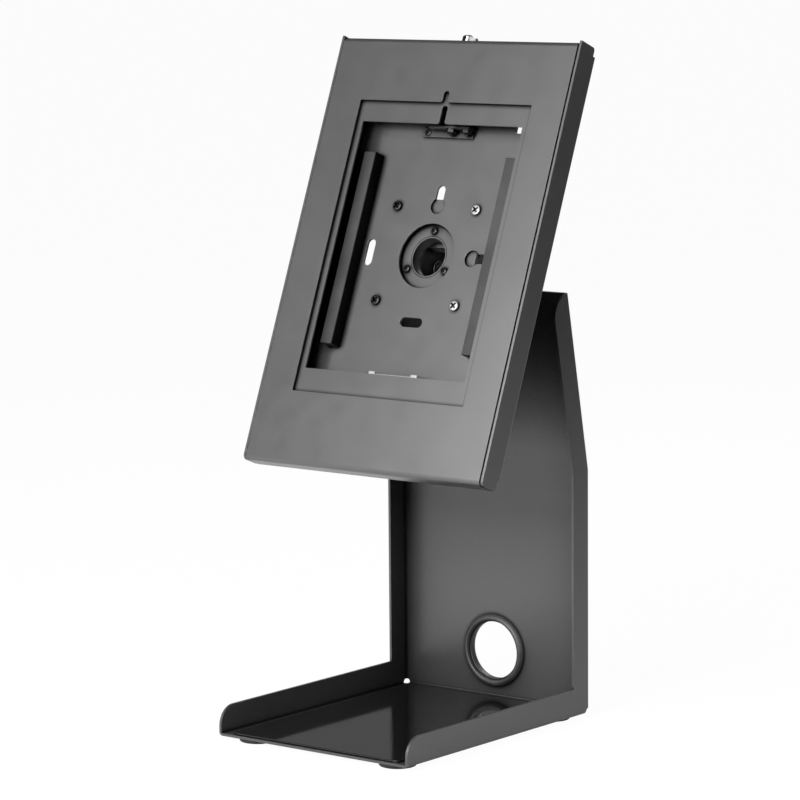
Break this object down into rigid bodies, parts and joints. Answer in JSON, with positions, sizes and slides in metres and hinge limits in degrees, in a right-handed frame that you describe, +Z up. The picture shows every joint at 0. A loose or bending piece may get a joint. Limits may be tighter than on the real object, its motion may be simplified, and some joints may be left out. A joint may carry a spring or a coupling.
{
  "type": "point of sale tablet stand",
  "caption": "Black sheet-steel counter stand with a low tray and a tilting, swivelling, lockable case that frames a tablet screen.",
  "frame": {"origin": "on the counter, under the centre of the stand's footprint", "axes": "+X to the right of the person who reads the screen, +Y away from them towards the post, +Z up"},
  "size_m": [0.228, 0.231, 0.5237],
  "materials": {
    "powder_coat": "black powder coat on sheet steel, fine texture, satin",
    "gloss_liner": "black acrylic sheet, high gloss",
    "black_rubber": "moulded rubber, semi-matte",
    "bar_foam": "dense foam rubber, matte",
    "black_oxide": "black oxide on steel, satin",
    "zinc_plate": "bright zinc plate",
    "lock_chrome": "nickel-chrome plate, polished",
    "nylon": "natural nylon"
  },
  "bodies": {
    "stand": {"stand_frame": "powder_coat", "tray_liner": "gloss_liner", "foot_front_left": "black_rubber", "foot_front_right": "black_rubber", "foot_rear_left": "black_rubber", "foot_rear_right": "black_rubber", "cable_grommet": "black_rubber", "head_bracket": "powder_coat", "bracket_screws": "black_oxide", "bracket_nuts": "zinc_plate", "tilt_bolts": "black_oxide", "tilt_nuts": "black_oxide", "tilt_spring_washers": "zinc_plate", "tilt_friction_washers": "nylon"},
    "tilt_head": {"swivel_hub": "powder_coat", "retaining_ring": "powder_coat", "ring_screws": "black_oxide", "front_swivel_washer": "nylon", "rear_swivel_washer": "nylon", "swivel_stop_pin": "zinc_plate"},
    "case": {"vesa_plate": "powder_coat", "black_vesa_screws": "black_oxide", "zinc_vesa_screws": "zinc_plate", "back_box": "powder_coat", "left_spacer_bar": "bar_foam", "right_spacer_bar": "bar_foam", "lower_saddle": "zinc_plate", "upper_bracket": "powder_coat", "upper_bracket_bolts": "black_oxide", "panel_rivets": "black_oxide", "lock_barrel": "lock_chrome", "lock_nut": "zinc_plate"},
    "cover": {"front_cover": "powder_coat", "insert_plate": "powder_coat", "insert_nuts": "zinc_plate", "lock_catch": "zinc_plate"},
    "lock": {"lock_plug": "lock_chrome", "lock_cam": "zinc_plate", "cam_nut": "zinc_plate"}
  },
  "joints": [
    {"name": "tilt", "type": "hinge", "parent": "stand", "child": "tilt_head", "pos_m": [0, 0.06452, 0.3451], "axis": [1, 0, 0], "range_deg": [-40, 20]},
    {"name": "swivel", "type": "hinge", "parent": "tilt_head", "child": "case", "pos_m": [0, 0.0346, 0.357], "axis": [0, -0.9291, 0.3697], "range_deg": [-90, 90]},
    {"name": "cover_hinge", "type": "hinge", "parent": "case", "child": "cover", "pos_m": [0, -0.03893, 0.20007], "axis": [1, 0, 0], "range_deg": [0, 75]},
    {"name": "lock_turn", "type": "hinge", "parent": "case", "child": "lock", "pos_m": [0, 0.07909, 0.50612], "axis": [0, 0.3697, 0.9291], "range_deg": [0, 90]}
  ]
}
